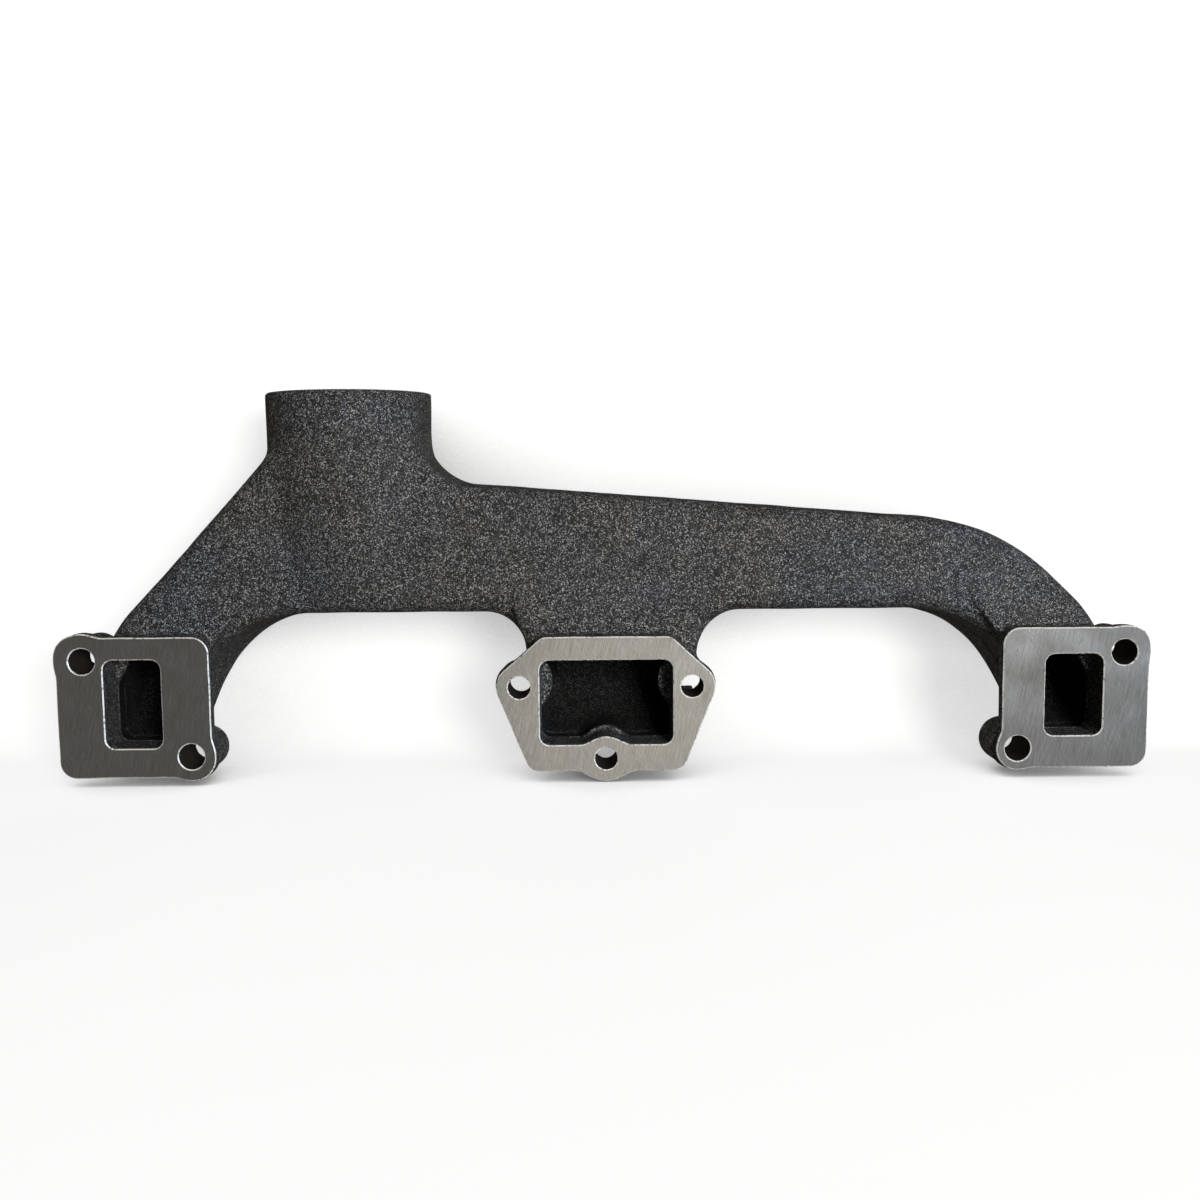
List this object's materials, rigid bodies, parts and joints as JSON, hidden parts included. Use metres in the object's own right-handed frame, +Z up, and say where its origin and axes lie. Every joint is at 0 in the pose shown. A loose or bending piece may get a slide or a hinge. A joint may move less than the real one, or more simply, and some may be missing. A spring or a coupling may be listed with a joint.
{
  "type": "exhaust manifold",
  "caption": "Cast-iron exhaust manifold: two end port flanges and a wide centre port flange bolt to the head, and a log collects them into an upright round outlet neck.",
  "frame": {"origin": "midway between the two upper bolt holes of the centre flange, on the machined face", "axes": "-Y out of the machined port faces towards the cylinder head, +Z up along the outlet neck, +X along the log away from the outlet"},
  "size_m": [0.4433, 0.0726, 0.159],
  "materials": {
    "cast_skin": "as-cast sand texture, dark grey",
    "machined_face": "milled flat, bare grey iron"
  },
  "bodies": {
    "root": {"left_flange": "machined_face", "centre_flange": "machined_face", "right_flange": "machined_face", "left_upper_boss": "cast_skin", "left_lower_boss": "cast_skin", "right_upper_boss": "cast_skin", "right_lower_boss": "cast_skin", "centre_left_boss": "cast_skin", "centre_right_boss": "cast_skin", "centre_lower_boss": "cast_skin", "left_elbow": "cast_skin", "left_arm": "cast_skin", "collector": "cast_skin", "outlet_neck": "cast_skin", "log_left": "cast_skin", "log_right": "cast_skin", "centre_runner": "cast_skin", "right_bend": "cast_skin", "right_elbow": "cast_skin"}
  },
  "joints": []
}
